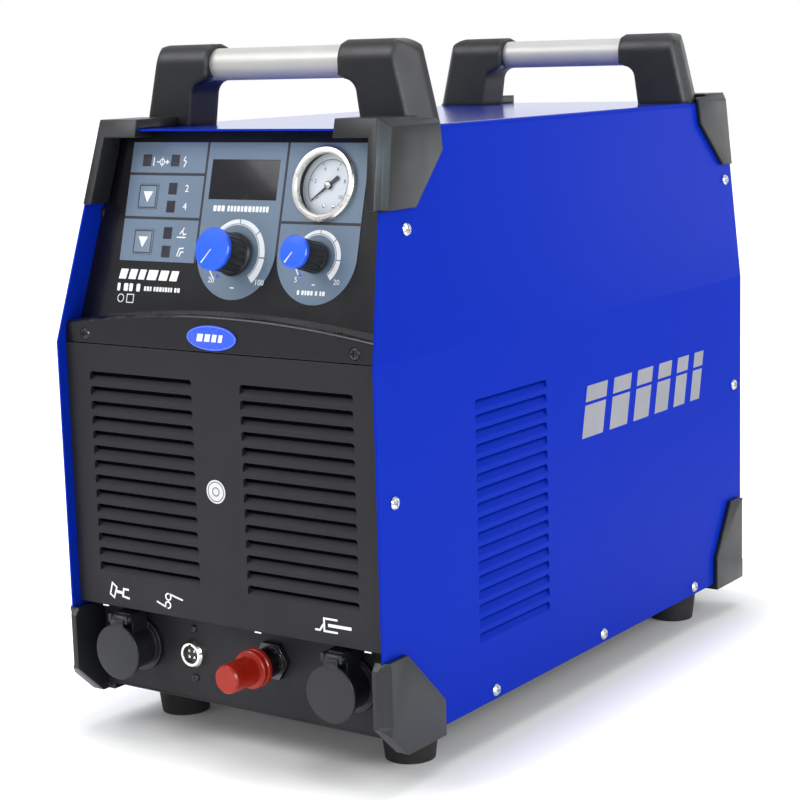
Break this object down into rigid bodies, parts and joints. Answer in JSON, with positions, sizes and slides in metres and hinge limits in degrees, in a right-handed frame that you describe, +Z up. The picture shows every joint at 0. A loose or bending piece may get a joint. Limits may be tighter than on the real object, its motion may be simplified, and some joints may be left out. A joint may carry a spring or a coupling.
{
  "type": "plasma cutter unit",
  "caption": "Inverter plasma cutter power unit: blue sheet-metal case with black corner guards, two carrying handles, sloping control panel, front sockets and rear fan.",
  "frame": {"origin": "on the floor, under the middle of the whole unit's bounding box", "axes": "+X to the operator's right as they face the control panel, +Y from the front panel to the rear, +Z up"},
  "size_m": [0.296, 0.634, 0.5135],
  "materials": {
    "blue_paint": "gloss powder coat",
    "black_plastic": "fine moulded texture, satin",
    "dark_panel": "fine matt powder coat",
    "steel_sheet": "zinc plated",
    "tube_aluminium": "brushed, anodised",
    "foot_rubber": "matt",
    "screw_steel": "bright zinc",
    "overlay_film": "printed film, satin",
    "window_plastic": "smoked acrylic",
    "lamp_plastic": "diffusing lens",
    "key_plastic": "satin",
    "cap_blue": "gloss",
    "ivory_ring": "satin chrome look ivory",
    "dial_face": "printed",
    "needle_paint": "matt",
    "clear_glass": "clear",
    "brass_metal": "machined",
    "red_plastic": "gloss",
    "board_green": "solder mask",
    "wire_black": "coated wire",
    "cable_rubber": "sheath",
    "core_steel": "laminated",
    "fin_aluminium": "extruded",
    "hose_blue": "polyurethane hose",
    "valve_brass": "cast"
  },
  "bodies": {
    "housing": {"cover_shell": "blue_paint", "base_tray": "steel_sheet", "rear_panel": "dark_panel", "louvre_panel": "dark_panel", "connector_panel": "dark_panel", "front_bezel": "black_plastic", "chassis_divider": "steel_sheet", "front_top_guard_right": "black_plastic", "front_top_guard_left": "black_plastic", "front_bottom_guard_right": "black_plastic", "front_bottom_guard_left": "black_plastic", "rear_top_guards": "black_plastic", "rear_bottom_guards": "black_plastic", "front_post_right": "black_plastic", "front_post_left": "black_plastic", "rear_post_right": "black_plastic", "rear_post_left": "black_plastic", "front_handle_tube": "tube_aluminium", "rear_handle_tube": "tube_aluminium", "rubber_feet": "foot_rubber", "case_screws": "screw_steel", "control_overlay": "overlay_film", "display_window": "window_plastic", "indicator_lenses": "lamp_plastic", "control_board": "board_green", "potentiometers": "steel_sheet", "gauge_case": "black_plastic", "gauge_ring": "ivory_ring", "gauge_dial": "dial_face", "gauge_lens": "clear_glass", "badge_plate": "cap_blue", "output_sockets": "black_plastic", "flap_hinge_pins": "screw_steel", "control_socket": "steel_sheet", "torch_fitting": "brass_metal", "fan_guard": "wire_black", "fan_frame": "black_plastic", "power_switch": "black_plastic", "cable_gland": "black_plastic", "mains_cable": "cable_rubber", "air_inlet": "brass_metal", "heatsink": "fin_aluminium", "main_transformer": "core_steel", "power_board": "board_green", "solenoid_valve": "valve_brass", "air_hose": "hose_blue"},
    "current_dial": {"current_knob": "black_plastic", "current_knob_cap": "cap_blue", "current_shaft": "steel_sheet"},
    "post_flow_dial": {"post_flow_knob": "black_plastic", "post_flow_knob_cap": "cap_blue", "post_flow_shaft": "steel_sheet"},
    "mode_key": {"mode_button": "key_plastic"},
    "gas_test_key": {"gas_test_button": "key_plastic"},
    "gauge_hand": {"gauge_needle": "needle_paint"},
    "fan": {"fan_rotor": "black_plastic"},
    "switch_toggle": {"switch_lever": "black_plastic"},
    "left_flap": {"left_socket_flap": "black_plastic"},
    "right_flap": {"right_socket_flap": "black_plastic"},
    "torch_plug_cap": {"torch_cap": "red_plastic"}
  },
  "joints": [
    {"name": "current_knob_turn", "type": "hinge", "parent": "housing", "child": "current_dial", "pos_m": [0.0006, -0.25293, 0.36561], "axis": [0, 0.9663, -0.2573], "range_deg": [0, 270]},
    {"name": "post_flow_knob_turn", "type": "hinge", "parent": "housing", "child": "post_flow_dial", "pos_m": [0.0728, -0.25285, 0.3659], "axis": [0, 0.9663, -0.2573], "range_deg": [0, 270]},
    {"name": "mode_button_press", "type": "slide", "parent": "housing", "child": "mode_key", "axis": [0, 0.9663, -0.2573], "range_m": [0, 0.0008]},
    {"name": "gas_test_button_press", "type": "slide", "parent": "housing", "child": "gas_test_key", "axis": [0, 0.9663, -0.2573], "range_m": [0, 0.0008]},
    {"name": "gauge_needle_turn", "type": "hinge", "parent": "housing", "child": "gauge_hand", "pos_m": [0.0714, -0.2348, 0.41429], "axis": [0, 0.9663, -0.2573], "range_deg": [0, 256]},
    {"name": "fan_spin", "type": "hinge", "parent": "housing", "child": "fan", "pos_m": [0, 0.235, 0.247], "axis": [0, 1, 0], "continuous": true},
    {"name": "switch_lever_throw", "type": "hinge", "parent": "housing", "child": "switch_toggle", "pos_m": [-0.07, 0.268, 0.404], "axis": [1, 0, 0], "range_deg": [0, 48]},
    {"name": "left_flap_open", "type": "hinge", "parent": "housing", "child": "left_flap", "pos_m": [-0.099, -0.286, 0.094], "axis": [-1, 0, 0], "range_deg": [0, 110]},
    {"name": "right_flap_open", "type": "hinge", "parent": "housing", "child": "right_flap", "pos_m": [0.099, -0.286, 0.094], "axis": [-1, 0, 0], "range_deg": [0, 110]},
    {"name": "torch_cap_pull", "type": "slide", "parent": "housing", "child": "torch_plug_cap", "axis": [0, -1, 0], "range_m": [0, 0.03]}
  ]
}
